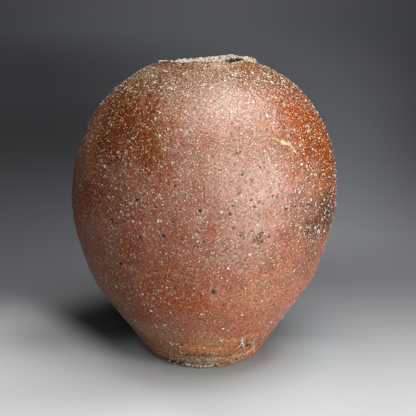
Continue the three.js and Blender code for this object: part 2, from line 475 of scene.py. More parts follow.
def zones(points, pits):
    """Named masks from 0 to 1 that the clay's material mixes its colours by."""
    height = points[..., 2] / MM
    behind = ease(points[..., 1], 20 * MM, 80 * MM)
    cloud = layers(points, 60, 4, 21)
    torn = layers(points, (13, 13, 6), 3, 23)
    blotches = layers(points, 70, 3, 25)
    puffs = layers(points, 48, 3, 27)

    def frayed(mask, amount):
        """A mask with a torn edge."""
        return np.clip(mask * (1 + amount * torn), 0, 1)

    besides = {
        # painted shade: the dark band along the foot's joint; the puffs behind the jar are smoke
        "smoke_and_joint_shade": [0.75 * frayed(stroke(points, SHADED_JOINT, 14), 0.8), 0.7 * behind * ease(puffs, 0.6, 1.1)],
        "haze": [],
        "ash": [0.8 * stroke(points, RING_MARK, 3.0)],
        "ochre": [0.6 * (1 - ease(height + 12 * cloud, 20, 55))],
        "scorch": [0.2 * ease(cloud, 0.25, 0.9)],
        "brown": [0.8 * behind * ease(blotches, 0.0, 0.6)],
        # pale patches behind the jar, the clay's own tone
        "pale_patch_and_highlight": [0.5 * behind * ease(-blotches, 0.2, 0.8)],
        "bare": [near(points, *BARE_FOOT) * frayed(stroke(points, FOOT_BARE, 36), 0.7)],
        "char_and_shade": [pits, 0.3 * stroke(points, FOOT_JOINT, 4.5), 0.6 * strokes(points, SOOT_STREAKS, 2.2),
                 # painted shade: black in the gaps under the foot's lifted edge
                 0.95 * frayed(strokes(points, FOOT_GAPS, 4.5), 0.6)],
    }
    masks = {zone: np.maximum.reduce([patches_of(points, zone)] + more)
             for zone, more in besides.items()}
    masks["ochre"] *= 1 - 0.6 * near(points, *OCHRE_GAP)
    masks["ledge"] = stroke(points, FOOT_LEDGE, 6)
    masks["scraped"] = frayed(0.95 * strokes(points, FOOT_SCRAPES, 6.5), 0.7)
    masks["wiped"] = 1 - ease(height + 10 * cloud, 22, 66)
    masks["dust"] = ease(height + 10 * cloud, 330, 366)
    return masks


# Meshes

def ring_grid(rows, closed):
    """Quads of a grid that closes around its columns, and also from its last row to its first if closed."""
    row = np.arange(rows if closed else rows - 1)[:, None]
    column = np.arange(COLUMNS)[None]
    after = (row + 1) % rows
    beside = (column + 1) % COLUMNS
    corners = [(row, column), (row, beside), (after, beside), (after, column)]
    quads = [up * COLUMNS + along for up, along in corners]
    return np.stack([np.broadcast_to(q, (row.size, COLUMNS)) for q in quads], -1).reshape(-1, 4)


def new_object(name, data):
    """An object in the scene."""
    made = bpy.data.objects.new(name, data)
    bpy.context.scene.collection.objects.link(made)
    return made


def new_piece(name, points, face_sets, normals=None):
    """A mesh object from an array of places and from arrays of faces."""
    mesh = bpy.data.meshes.new(name)
    mesh.vertices.add(len(points))
    mesh.vertices.foreach_set("co", points.astype(np.float32).ravel())
    corners = np.concatenate([faces.ravel() for faces in face_sets])
    sizes = np.concatenate([np.full(len(faces), faces.shape[1]) for faces in face_sets])
    mesh.loops.add(len(corners))
    mesh.loops.foreach_set("vertex_index", corners.astype(np.int32))
    mesh.polygons.add(len(sizes))
    mesh.polygons.foreach_set("loop_start", (np.cumsum(sizes) - sizes).astype(np.int32))
    mesh.update(calc_edges=True)
    mesh.polygons.foreach_set("use_smooth", np.ones(len(sizes), bool))
    if normals is not None:
        mesh.normals_split_custom_set_from_vertices(normals.astype(np.float32))
    return new_object(name, mesh)


def ring_piece(name, points, normals):
    """A piece of rows around the jar, the last of which joins the first."""
    return new_piece(name, points.reshape(-1, 3), [ring_grid(len(points), True)], normals.reshape(-1, 3))


def stand_for(piece, material, nodes, masks):
    """Ties a piece to the CAD nodes it stands for, with its material and its masks."""
    for name, values in masks.items():
        layer = piece.data.attributes.new(name, "FLOAT", "POINT")
        layer.data.foreach_set("value", np.ascontiguousarray(values, np.float32).ravel())
    piece.data.materials.append(material)
    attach(piece, "root")
    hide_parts(*nodes)


def grid_normals(points):
    """Normals of a grid of places whose rows run up the face and whose columns run round it."""
    up = np.gradient(points, axis=0)
    round_it = np.roll(points, -1, axis=1) - np.roll(points, 1, axis=1)
    return unit(np.cross(round_it, up))


def outer_rows(start, end):
    """Places, normals and masks of the outer face between two distances along it."""
    count = max(2, round((end - start) / ROW_STEP) + 1)
    step = (end - start) / (count - 1)
    distance = start + step * np.arange(-1, count + 1)
    places, out = OUTER.points(ANGLES[None, :], distance[:, None])
    pits = pitted(places)
    masks = zones(places, pits)
    places = places + out * relief(places, pits)[..., None]
    kept = slice(1, -1)
    return places[kept], grid_normals(places)[kept], {name: mask[kept] for name, mask in masks.items()}


def inner_rows(low, high):
    """Places and normals of the inner face between two heights, with the marks of the potter's fingers."""
    start, end = INNER.at_height(low), INNER.at_height(high)
    count = max(2, round((end - start) / INNER_ROW_STEP) + 1)
    distance = np.linspace(start, end, count)
    places, out = INNER.points(ANGLES[None, :], distance[:, None])
    places = places + out * (bumps(places, FINGER_MARKS) * MM)[..., None]
    return places, -out


def onto_inside(masks, shape):
    """Masks carried on over rows of the inside, at 0 there but for the mask of the inside itself."""
    outside = np.zeros(masks["char_and_shade"].shape)
    blank = np.zeros(shape)
    longer = {name: np.concatenate([mask, blank]) for name, mask in masks.items()}
    longer["inside"] = np.concatenate([outside, blank + 1])
    return longer


def wall_ring(name, seams, inner_ends):
    """One ring of the wall as a closed piece: outer face, joint, inner face, joint."""
    outer, outer_out, masks = outer_rows(*seams)
    inner, inner_out = inner_rows(*inner_ends)
    points = np.concatenate([outer, inner[::-1]])
    normals = np.concatenate([outer_out, inner_out[::-1]])
    piece = ring_piece(f"{name}_fired", points, normals)
    stand_for(piece, CLAY, [name], onto_inside(masks, inner.shape[:2]))


def wall():
    """All the rings of the wall."""
    seams = [OUTER.at_height(SLAB_TOP)] + [OUTER.at_height(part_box(ring)[1].z) for ring in RINGS]
    inner = [SLAB_TOP] + [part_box(ring)[0].z for ring in RINGS[1:]] + [NECK_FOOT]
    for i, ring in enumerate(RINGS):
        wall_ring(ring, seams[i:i + 2], inner[i:i + 2])


def broken_edge():
    """Height of the break around the mouth, and its outer and inner radius, from the CAD neck."""
    corners = np.array([vertex.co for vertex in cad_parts[NECK].data.vertices])
    corners[:, 0] -= OUTER.sway[-1]
    corners = corners[corners[:, 2] > NECK_ROOT + 0.5 * MM]
    turn = np.round(np.degrees(np.arctan2(corners[:, 1], corners[:, 0])), 2)
    columns = np.unique(turn)
    tops = np.array([corners[turn == column][:, 2].max() for column in columns])
    flat = corners[corners[:, 2] > tops[np.searchsorted(columns, turn)] - 0.02 * MM]
    radii = np.hypot(flat[:, 0], flat[:, 1])
    return np.interp(ANGLES, np.radians(columns), tops, period=2 * math.pi), radii.max(), radii.min()


# How the break departs from its mean line: height, and the angle and half width of the stretch in degrees
RIM_STEPS = [
    (1.2 * MM, 245, 40), (-1.0 * MM, 300, 20), (-1.3 * MM, 70, 26), (0.9 * MM, 130, 30),
    (0.6 * MM, 78, 12), (-0.3 * MM, 38, 15),
]

# How far the inner side of the break lies below its outer side, likewise, and everywhere else
BREAK_FALLS = [(6 * MM, 98, 50), (-2.4 * MM, 44, 18), (-2.0 * MM, 78, 10)]
BREAK_FALL = 2.4 * MM

# How far down the outside the pale break reaches, as a share of the rise, likewise: in flakes, and whole
FLAKED_REACH = [(0.45, 5, 30)]
WHOLE_REACH = [(0.2, 95, 75), (0.15, 160, 25)]

# Rows of the stump as shares of three stretches: up its outside, across the break and down its inside
RISE = np.linspace(0, 1, 20)
ACROSS = np.linspace(0, 1, 14)[1:-1]
FALL = np.linspace(0, 1, 12)

# The corners that the rise and the fall curve towards: above and below the root of the neck
RISE_CORNER = 4 * MM
FALL_CORNER = 6 * MM
TOP_MARGIN = 0.05 * MM


def around(steps):
    """For each column, the sum of heights that each hold over a stretch of angles."""
    turn = np.degrees(ANGLES)
    return sum(height * np.exp(-(((turn - at + 180) % 360 - 180) / half) ** 4) for height, at, half in steps)


def bend(start, corner, end, shares):
    """Rows of a curve that leaves start towards corner and arrives at end."""
    share = shares[:, None, None]
    return (1 - share) ** 2 * start + 2 * share * (1 - share) * corner + share ** 2 * end


def turned(radius, height):
    """Places at radii and heights around the neck's middle line, a column for each angle."""
    radius, height, angle = np.broadcast_arrays(radius, height, ANGLES)
    return np.stack([OUTER.sway[-1] + radius * np.cos(angle), radius * np.sin(angle), height], -1)


def neck_rows():
    """Smooth rows of the stump, after one row of the wall below it; and the wall's normals at its root."""
    edge, edge_out, edge_in = broken_edge()
    below, _ = OUTER.points(ANGLES, np.full(COLUMNS, OUTER.length - ROW_STEP))
    root, root_out = OUTER.points(ANGLES, np.full(COLUMNS, OUTER.length))
    foot, _ = INNER.points(ANGLES, np.full(COLUMNS, INNER.length))
    edge = edge + bumps(turned(edge_out, edge), BREAK_LINE) * MM + around(RIM_STEPS)
    inner_edge = edge - BREAK_FALL - around(BREAK_FALLS)
    lift = (edge - NECK_ROOT) / (edge - NECK_ROOT).mean()
    rise = bend(root, turned(edge_out, NECK_ROOT + RISE_CORNER * lift), turned(edge_out, edge), RISE)
    across = ACROSS[:, None]
    broken = turned(edge_out + (edge_in - edge_out) * across, edge + (inner_edge - edge) * across)
    fall = bend(turned(edge_in, inner_edge), turned(edge_in, NECK_ROOT - FALL_CORNER), foot, FALL)
    return np.concatenate([below[None], rise, broken, fall]), root_out


def roughened(points, root_out):
    """Those rows with the wall's relief on the outside, which gives way to the roughness of the break."""
    wild = np.concatenate([[0], RISE ** 2, np.ones(len(ACROSS)), (1 - FALL) ** 2])[:, None]
    row = np.arange(len(points))[:, None]
    tame = (1 - wild) * (row <= len(RISE))
    raised = tame * relief(points, pitted(points)) + wild * bumps(points, BREAK_FACE) * MM
    out = np.where(row[..., None] < 2, root_out, grid_normals(points))
    points = points + out * raised[..., None]
    points[..., 2] = np.minimum(points[..., 2], CAD_HIGH.z - TOP_MARGIN)
    return points


def neck_masks(points):
    """Masks of the stump: the wall's, with the pale break, the grime on it and the inside."""
    masks = zones(points, np.zeros(points.shape[:2]))
    ragged = layers(points, 8, 3, 56)
    up = np.concatenate([RISE, np.ones(len(ACROSS) + len(FALL))])[:, None]
    down = np.concatenate([np.zeros(len(RISE) + len(ACROSS)), FALL])[:, None]
    reach = around(FLAKED_REACH) * ease(noise(points, 2.5, 58), -0.3, 0.3) + around(WHOLE_REACH)
    masks["fracture"] = ease(up + reach + 0.07 * ragged, 0.92, 0.99)
    masks["fracture"] *= 1 - ease(down + 0.05 * ragged, 0.03, 0.16)
    grime = ease(noise(points, 3, 57), 0.0, 0.6) * ease(up + down, 0.99, 1.0)
    masks["char_and_shade"] = np.maximum(masks["char_and_shade"], 0.4 * grime)
    # the inside, whose dark colour is partly painted shade
    masks["inside"] = ease(down, 0.02, 0.2) * np.ones(COLUMNS)
    return masks


def neck_stump():
    """What is left of the neck. Returns the rows of its outside and their normals."""
    points = roughened(*neck_rows())
    normals = grid_normals(points)[1:]
    points = points[1:]
    piece = ring_piece("neck_stump_broken", points, normals)
    stand_for(piece, CLAY, [NECK], neck_masks(points))
    return points[:len(RISE)], normals[:len(RISE)]


# Rows of the slab: shares of its underside and of its top, and its edge by inset and height
UNDER_SHARES = np.linspace(0.06, 0.95, 14)
TOP_SHARES = np.linspace(0.86, 0.06, 12)
SLAB_EDGE = [(4.6 * MM, 0.0), (2.6 * MM, 0.6 * MM), (1.2 * MM, 1.8 * MM)]


def foot_wear(points):
    """How worn the foot's edge is around the slab: lift and loss, in metres."""
    side = points * [1, 1, 0]
    chipped = patches_of(side, "chipped")
    lift = 1.4 * np.maximum(noise(side, 30, 61), 0) + 1.2 * np.maximum(noise(side, 8, 62), 0)
    return (lift + 5.0 * chipped) * MM, np.maximum(bumps(side, FOOT_LOSS) + 2.2 * chipped + 0.6, 0) * MM


def slab_rows(rim):
    """Smooth rows of the slab's underside, from near its middle outwards, and of its edge up to the rim."""
    radius = np.hypot(rim[:, 0], rim[:, 1])[:, None]
    edge = [rim * [1, 1, 0] * (1 - inset / radius) + [0, 0, high] for inset, high in SLAB_EDGE]
    under = [edge[0] * [share, share, 0] for share in UNDER_SHARES]
    return np.stack(under + edge)


def worn(points, foot_radius):
    """Rows of the slab with its foot worn and its underside rough."""
    side = np.linalg.norm(points[..., :2], axis=-1)
    wear = ease(side, foot_radius - 16 * MM, foot_radius - 5 * MM) * (1 - ease(points[..., 2], 0, 10 * MM))
    lift, loss = foot_wear(points)
    points[..., 2] += wear * lift
    points[..., :2] *= (1 - wear * loss / side)[..., None]
    under = points[:len(UNDER_SHARES)]
    under[..., 2] += np.maximum(0.35 * noise(under, 14, 66) + 0.2, 0) * MM
    return points


def capped_piece(name, points, normals):
    """A piece of rows around the jar, closed by a fan of faces below the first row and above the last."""
    poles = [[0, 0, row[:, 2].mean()] for row in (points[0], points[-1])]
    low_pole = len(points) * COLUMNS
    last_row = low_pole - COLUMNS
    column = np.arange(COLUMNS)
    beside = (column + 1) % COLUMNS
    fans = [np.stack([beside, column, np.full(COLUMNS, low_pole)], -1),
            np.stack([last_row + column, last_row + beside, np.full(COLUMNS, low_pole + 1)], -1)]
    return new_piece(name, np.concatenate([points.reshape(-1, 3), poles]),
                     [ring_grid(len(points), False)] + fans,
                     np.concatenate([normals.reshape(-1, 3), [[0, 0, -1], [0, 0, 1]]]))


def base_slab():
    """The slab the wall stands on: a rough underside, a worn edge and the floor of the inside."""
    outer, outer_out, outer_masks = outer_rows(0, OUTER.at_height(SLAB_TOP))
    rim, _ = OUTER.points(ANGLES, np.zeros(COLUMNS))
    lower = slab_rows(rim)
    points = worn(np.concatenate([lower, outer]), np.hypot(rim[:, 0], rim[:, 1]).mean())
    normals = grid_normals(points)
    normals[-1] = outer_out[-1]
    top = np.stack([points[-1] * [share, share, 0] + [0, 0, SLAB_TOP] for share in TOP_SHARES])
    normals = np.concatenate([normals, np.broadcast_to([0.0, 0.0, 1.0], top.shape)])
    piece = capped_piece("base_slab_fired", np.concatenate([points, top]), normals)
    lower_masks = zones(lower, np.zeros(lower.shape[:2]))
    masks = {name: np.concatenate([lower_masks[name], outer_masks[name]]) for name in outer_masks}
    masks["underside"] = np.concatenate([np.ones(lower.shape[:2]), np.zeros(outer.shape[:2])])
    masks = onto_inside(masks, top.shape[:2])
    at_poles = [0.0, 0.0]
    masks = {name: np.concatenate([mask.ravel(), at_poles]) for name, mask in masks.items()}
    stand_for(piece, CLAY, [SLAB], masks)


# Grains, stones, ash and crumbs

def lump():
    """Corners and faces of a round lump."""
    bm = bmesh.new()
    bmesh.ops.create_icosphere(bm, subdivisions=2, radius=1)
    corners = np.array([vertex.co[:] for vertex in bm.verts])
    faces = np.array([[vertex.index for vertex in face.verts] for face in bm.faces])
    bm.free()
    return corners, faces


LUMP, LUMP_FACES = lump()


def set_grains(name, material, spots, nodes, seed, flat=(0.45, 0.75), sunk=(0.25, 0.6), tints=None,
               uneven=0.18):
    """One piece of flat uneven lumps set into the wall; spots are their places, normals and radii."""
    places, out, radii = spots
    draw = np.random.default_rng(seed)
    count = len(places)
    spin = unit(np.cross(out, draw.normal(size=(count, 3))))
    across = np.cross(out, spin)
    wide = radii[:, None] * draw.uniform([0.8, 0.6], [1.3, 1.1], (count, 2))
    tall = radii * draw.uniform(*flat, count)
    bumpy = LUMP[None] * (1 + uneven * draw.normal(size=(count, len(LUMP), 1)).clip(-2, 2))
    axes = (spin * wide[:, :1], across * wide[:, 1:], out * tall[:, None])
    shape = sum(bumpy[..., k:k + 1] * axes[k][:, None] for k in range(3))
    depth = tall * draw.uniform(*sunk, count)
    points = (places - out * depth[:, None])[:, None] + shape
    points = np.clip(points, CAD_LOW, CAD_HIGH)
    faces = LUMP_FACES[None] + len(LUMP) * np.arange(count)[:, None, None]
    piece = new_piece(name, points.reshape(-1, 3), [faces.reshape(-1, 3)])
    tint = np.repeat(draw.uniform(0, 1, count) if tints is None else tints, len(LUMP))
    crown = np.broadcast_to(LUMP[:, 2], (count, len(LUMP)))
    stand_for(piece, material, nodes, {"tint": tint, "crown": crown})


# The grains' usual radius and its limits in millimetres, and the spread of its logarithm
GRAIN_RADIUS = 0.60
GRAIN_LIMITS = (0.36, 2.3)
GRAIN_SPREAD = 0.46

# Where the grit is coarse, fine, or sparse by a share: pixel, radius in millimetres, and raggedness if any
COARSE_LOW = ((125, 285), 75)
COARSE_HIGH = ((120, 195), 60)
FINE_GRIT = ((222, 170), 110, 0.3)
SPARSE_GRIT = [
    (0.5, (265, 290), 60), (0.2, (115, 125), 80), (0.45, (240, 195), 75, 0.4), (0.5, (80, 150), 80, 0.3),
    (0.4, (333, 145), 50, 0.3),
]


def crowding(places):
    """The share of the grains tried that stay, at places on the wall."""
    height = places[:, 2] / MM
    crowd = 0.55 - 0.17 * ease(height, 60, 130) + 0.48 * ease(height, 190, 300)
    crowd += 0.9 * ease(height, 320, 355)
    crowd += 0.3 * near(places, *COARSE_LOW) + 0.15 * near(places, *COARSE_HIGH)
    crowd *= 1 + 0.6 * noise(places, 22, 71)
    for share, *patch in SPARSE_GRIT:
        crowd *= 1 - share * near(places, *patch)
    crowd += 0.75 * patches_of(places, "smoky_grit")
    girth = np.hypot(places[:, 0], places[:, 1]) / OUTER.radius.max()
    return 0.8 * girth * crowd * ease(height, 8, 30)


def coarseness(places):
    """What the grains' radii are taken times, at places on the wall."""
    height = places[:, 2] / MM
    coarse = 1.08 - 0.13 * ease(height, 60, 160) + 0.10 * ease(height, 160, 260)
    coarse *= (1 + 0.2 * patches_of(places, "smoky_grit")
               + 0.1 * near(places, *COARSE_LOW) + 0.25 * near(places, *COARSE_HIGH))
    return coarse * (1 - 0.25 * near(places, *FINE_GRIT))


def raised_wall(angle, distance):
    """Places on the uneven wall, and the normals of its smooth profile."""
    places, out = OUTER.points(angle, distance)
    return places + out * relief(places, pitted(places))[:, None], out


def scattered_grains():
    """Places, normals and radii of the grains over the whole outer wall."""
    draw = np.random.default_rng(SEED + 2)
    distance = draw.uniform(0, OUTER.length, GRAIN_TRIES)
    angle = draw.uniform(0, 2 * math.pi, GRAIN_TRIES)
    places, _ = OUTER.points(angle, distance)
    kept = draw.uniform(0, 1, GRAIN_TRIES) < crowding(places)
    radii = np.exp(draw.normal(math.log(GRAIN_RADIUS), GRAIN_SPREAD, GRAIN_TRIES)).clip(*GRAIN_LIMITS) * MM
    radii *= coarseness(places)
    return raised_wall(angle[kept], distance[kept]) + (radii[kept],)


def on_wall(points):
    """The places of the uneven wall nearest to points, and its normals."""
    angle = np.arctan2(points[:, 1], points[:, 0])
    return raised_wall(angle, np.interp(points[:, 2], OUTER.height, OUTER.distance))


def beside_pits():
    """Places, normals and radii of pale grains at the rims of the photograph's pits, two for each."""
    draw = np.random.default_rng(SEED + 3)
    rims = [centre + radius * 1.2 * unit(draw.normal(size=3)) for centre, radius in ALL_PITS[:len(PITS)] * 2]
    return on_wall(np.array(rims)) + (draw.uniform(0.5, 1.0, len(rims)) * MM,)


# Where the grains lie, a piece for each: the crowded upper rings have one each
GRAIN_FIELDS = {"lower_wall": RINGS[:3], "belly": RINGS[3:6], "lower_shoulder": RINGS[6:8]}
GRAIN_FIELDS.update({ring: [ring] for ring in RINGS[8:]})


def grains(neck_places, neck_out):
    """The grains, in one piece for each field of rings, and on the neck."""
    spots = [np.concatenate(parts) for parts in zip(scattered_grains(), beside_pits())]
    height = spots[0][:, 2]
    low = 0
    for i, (field, rings) in enumerate(GRAIN_FIELDS.items()):
        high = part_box(rings[-1])[1].z
        inside = (height >= low) & (height < high)
        set_grains(f"feldspar_on_{field}", FELDSPAR, [part[inside] for part in spots], rings, SEED + 10 + i)
        low = high
    draw = np.random.default_rng(SEED + 4)
    row = draw.integers(0, len(neck_places) - 2, NECK_GRAINS)
    column = draw.integers(0, COLUMNS, NECK_GRAINS)
    radii = draw.uniform(0.4, 1.1, NECK_GRAINS) * MM
    on_neck = (neck_places[row, column], neck_out[row, column], radii)
    set_grains("feldspar_on_neck", FELDSPAR, on_neck, [NECK], SEED + 20)


# Stones that burst out, crusts of ash and lumps at the foot: a pixel's numbers, and radius in millimetres
BURST_STONES = [
    (241.5, 338, 1.4), (242, 340, 2.0), (241, 342, 2.2), (242.5, 343, 2.3), (242, 345, 2.0),
    (243.5, 347, 1.6), (239, 344, 1.5), (244.5, 341, 1.2), (238, 345, 1.0), (240, 340, 1.3),
    (240.5, 347, 0.9), (247, 342, 1.1), (248.5, 340, 1.3), (250, 341, 0.9), (251, 339, 1.2),
    (253, 337, 1.3), (254, 338, 0.9), (255, 335, 1.2), (256, 333, 1.0), (170, 342, 1.8), (172, 344, 1.9),
    (176, 344, 1.6), (174, 343, 1.0), (221, 340, 1.7), (223, 339, 0.9), (156, 324, 1.6), (157, 326, 1.2),
    (163, 328, 1.0), (166, 330, 1.0), (202, 336, 1.1), (193, 340, 0.9),
]
ASH_SCAR = [
    (270, 138, 1.0), (272, 139, 1.2), (274, 139, 1.2), (276, 140, 1.5), (278, 141, 2.2), (280, 142, 2.9),
    (282, 143, 3.0), (284, 143, 2.5), (286, 144, 2.0), (288, 144, 1.5), (290, 147, 1.4), (293, 151, 1.3),
    (295, 153, 1.5), (297, 155, 0.8), (281, 140, 1.5), (289, 145, 1.3), (128, 89, 2.4), (129, 91, 1.9),
    (291, 148, 1.4), (292, 150, 1.3), (294, 152, 1.4), (279, 144, 1.5), (283, 141, 1.4), (287, 142, 1.2),
    (127, 87, 1.6), (130, 88, 1.2), (134, 84, 1.0), (137, 80, 1.2), (141, 76, 1.1), (125, 93, 1.0),
]
FOOT_LUMPS = [
    (185, 364, 3.0), (182, 364, 2.0), (188, 364.5, 2.2), (209, 362, 3.4), (212, 364, 2.4), (217, 363, 3.6),
    (222, 364.5, 2.2), (195, 366, 2.4), (200, 366, 2.6), (205, 366, 2.4), (192, 366, 2.0),
    (203, 366.2, 2.0), (233, 362, 2.2), (176, 361, 2.2), (168, 360, 2.0),
]

# How far the lumps sit inside the wall's line, as a scale on each axis
LUMP_INSET = [0.985, 0.985, 1]


def placed(marks):
    """Places, normals and radii of lumps given by pixels and millimetres."""
    spots = np.array([seen_at(pixel) for *pixel, _ in marks])
    return on_wall(spots) + (np.array([radius for *_, radius in marks]) * MM,)


def wall_stones():
    """Grey and white stones that show in the wall, many of them in or beside a pit."""
    spots = placed([(*pixel, STONE_SCALE * radius) for *pixel, radius, _ in STONES])
    shades = np.array([shade for *_, shade in STONES])
    set_grains("wall_stones", STONE, spots, RINGS[1:], SEED + 34, flat=(0.5, 0.8), sunk=(0.3, 0.6),
               tints=shades)


def burst_stones():
    """Stones that burst through the lower wall in the kiln."""
    tints = np.linspace(0.0, 0.5, len(BURST_STONES))
    set_grains("burst_stones", FELDSPAR, placed(BURST_STONES), RINGS[:3], SEED + 30, flat=(0.6, 0.95),
               sunk=(-0.2, 0.2), tints=tints, uneven=0.25)


def ash_scar():
    """Crusts of pale ash that fell on the shoulder and melted on."""
    set_grains("ash_scar", ASH_CRUST, placed(ASH_SCAR), RINGS[6:10], SEED + 31, flat=(0.25, 0.45),
               sunk=(0.2, 0.4))


def foot_crumbs():
    """Lumps of pale clay and crumbs of sand stuck along the foot's worn edge."""
    draw = np.random.default_rng(SEED + 32)
    angle = draw.uniform(0, 2 * math.pi, STRAY_CRUMBS)
    places, out = OUTER.points(angle, np.zeros(STRAY_CRUMBS))
    places += out * [1, 1, 0] * draw.uniform(-3.0, -1.0, (STRAY_CRUMBS, 1)) * MM
    places[:, 2] = draw.uniform(1, 5, STRAY_CRUMBS) * MM
    lumps = np.array([seen_at(pixel) for *pixel, _ in FOOT_LUMPS])
    places = np.concatenate([places, lumps * LUMP_INSET])
    radii = np.concatenate([draw.uniform(0.6, 1.4, STRAY_CRUMBS), [radius for *_, radius in FOOT_LUMPS]]) * MM
    tints = np.concatenate([draw.uniform(0.6, 1.0, STRAY_CRUMBS), draw.uniform(0.0, 0.9, len(FOOT_LUMPS))])
    spots = (places, unit(places * [1, 1, 0.1]), radii)
    set_grains("foot_crumbs", CRUMBS, spots, [SLAB], SEED + 33, flat=(0.3, 0.6), sunk=(0.1, 0.5), tints=tints,
               uneven=0.3)


# Node helpers

def paint(red, green, blue):
    """A colour given as it looks on a screen, 0 to 255, as linear light."""
    def linear(value):
        value /= 255
        return value / 12.92 if value <= 0.04045 else ((value + 0.055) / 1.055) ** 2.4
    return (linear(red), linear(green), linear(blue), 1)


class Nodes:
    """A material's shader nodes; an input is a value, or the output of another node."""

    def __init__(self, name):
        self.material = bpy.data.materials.new(name)
        self.material.use_nodes = True
        self.tree = self.material.node_tree
        self.shader = self.tree.nodes["Principled BSDF"]
        self.place = self.add("TexCoord").outputs["Object"]

    def connect(self, socket, value):
        """Links an output to a socket, or sets the socket's value."""
        if isinstance(value, bpy.types.NodeSocket):
            self.tree.links.new(value, socket)
        else:
            socket.default_value = value

    def set(self, name, value):
        """Sets an input of the shader."""
        self.connect(self.shader.inputs[name], value)

    def add(self, kind, settings=None, **inputs):
        """A node of a kind."""
        made = self.tree.nodes.new("ShaderNode" + kind)
        for key, value in (settings or {}).items():
            setattr(made, key, value)
        for key, value in inputs.items():
            self.connect(made.inputs[key.replace("_", " ")], value)
        return made

    def mix(self, share, first, second, blend="MIX"):
        """A colour between two."""
        node = self.add("Mix", {"data_type": "RGBA", "blend_type": blend})
        for socket, value in ((0, share), (6, first), (7, second)):
            self.connect(node.inputs[socket], value)
        return node.outputs[2]

    def times(self, colour, tint):
        """A colour tinted by another."""
        return self.mix(1.0, colour, tint, "MULTIPLY")

    def calc(self, operation, first, *others):
        """Numbers taken together, one after another."""
        for other in others:
            node = self.add("Math", {"operation": operation})
            self.connect(node.inputs[0], first)
            self.connect(node.inputs[1], other)
            first = node.outputs[0]
        return first

    def both(self, *shares):
        """The product of shares."""
        return self.calc("MULTIPLY", *shares)

    def most(self, *values):
        """The largest of values."""
        return self.calc("MAXIMUM", *values)

    def plus(self, *values):
        """The sum of values."""
        return self.calc("ADD", *values)

    def between(self, value, low, high, start=0.0, end=1.0):
        """A number eased from start, at low, to end, at high."""
        node = self.add("MapRange", {"interpolation_type": "SMOOTHSTEP"}, Value=value, From_Min=low,
                        From_Max=high, To_Min=start, To_Max=end)
        return node.outputs["Result"]

    def noise(self, scale, detail=2.0, roughness=0.5, place=None):
        """Noise from 0 to 1."""
        place = self.place if place is None else place
        node = self.add("TexNoise", None, Vector=place, Scale=scale, Detail=detail, Roughness=roughness)
        return node.outputs["Fac"]

    def specks(self, place, scale, share, size):
        """1 on small spots, which a share of the cells of a grid have, and 0 elsewhere."""
        cells = self.add("TexVoronoi", None, Vector=place, Scale=scale)
        parts = self.add("SeparateColor", None, Color=cells.outputs["Color"])
        chosen = self.calc("LESS_THAN", parts.outputs[0], share)
        spot = self.calc("LESS_THAN", cells.outputs["Distance"], self.both(parts.outputs[1], size))
        return self.both(chosen, spot)

    def shifted(self, by):
        """The place moved along, so that one pattern doesn't fall on another."""
        moved = self.add("VectorMath", {"operation": "ADD"}, Vector=self.place)
        moved.inputs[1].default_value = by
        return moved.outputs["Vector"]

    def mask(self, name):
        """A mask stored on the piece."""
        return self.add("Attribute", {"attribute_name": name}).outputs["Fac"]

    def shaded(self, colour, value, low, high):
        """A colour made darker and lighter by noise from 0 to 1."""
        level = self.between(value, 0.25, 0.75, low, high)
        grey = self.add("CombineColor", None, Red=level, Green=level, Blue=level).outputs["Color"]
        return self.times(colour, grey)


# Materials

LOWER_CLAY = paint(184, 94, 44)
# painted shade: the dark ring at the base of feldspar grains and stones, partly the gap around them
UPPER_CLAY = paint(155, 73, 28)
DARK_CLAY = paint(98, 52, 29)
RIM_SHADE_CLAY = paint(74, 40, 26)
BROWN_CLAY = paint(124, 65, 16)
OLIVE_CLAY = paint(78, 46, 14)
# painted highlight: the pale colour of the sheen in front, also of the clay's own pale patches behind
PALE_AND_HIGHLIGHT_CLAY = paint(185, 140, 115)
SCORCHED_CLAY = paint(154, 74, 28)
PINK_CLAY = paint(175, 102, 65)
OCHRE_CLAY = paint(212, 150, 100)
# smoke, also the painted shade in the foot's joint
SMOKE_AND_JOINT_SHADE = paint(88, 54, 38)
HAZE = paint(104, 78, 68)
DUST = paint(136, 99, 62)
# black of char, also painted shade in the foot's gaps and beside the burst stone
CHAR_AND_SHADE = paint(22, 19, 18)
ASH = paint(176, 156, 108)
BARE_CLAY = paint(176, 160, 141)
SCRAPED_CLAY = paint(214, 176, 146)
LEDGE_CLAY = paint(236, 222, 200)
# painted shade: the inside's clay, darkened as if little light reaches it
SHADED_INSIDE_CLAY = paint(60, 46, 38)
BROKEN_CLAY = paint(206, 198, 184)
CREAM = paint(234, 212, 188)
SAND = paint(224, 183, 150)
FELDSPAR_WHITE = paint(232, 226, 212)
FELDSPAR_BUFF = paint(186, 162, 134)
STONE_WHITE = paint(216, 210, 198)
STONE_SLATE = paint(58, 66, 64)
ASH_PALE = paint(216, 190, 146)
ASH_DARK = paint(176, 148, 104)
CRUMB_PALE = paint(212, 192, 170)
CRUMB_DARK = paint(164, 136, 112)

# The bare places, in the order in which they cover the clay; the inside's dark colour is partly painted shade
BARE_COLOURS = [
    ("bare", BARE_CLAY), ("scraped", SCRAPED_CLAY), ("underside", BARE_CLAY), ("ledge", LEDGE_CLAY),
    ("inside", SHADED_INSIDE_CLAY), ("fracture", BROKEN_CLAY),
]

# How much darker than the clay the gaps in its fine sand are, partly painted shade between and around the
# grains, and how a scorch tints it
SPECK_DARK = (0.40, 0.23, 0.10, 1)
WARM_FILM = (1.04, 0.93, 0.74, 1)

# The zones, and how far and to which colour each takes the clay
ZONE_COLOURS = [
    # the pale zone is painted highlight and light in front of the jar, and the clay's own tone behind it
    ("scorch", 0.7, SCORCHED_CLAY), ("brown", 0.85, BROWN_CLAY), ("pale_patch_and_highlight", 0.75, PALE_AND_HIGHLIGHT_CLAY),
    ("ochre", 0.8, OCHRE_CLAY), ("dust", 0.65, DUST), ("haze", 0.8, HAZE),
]


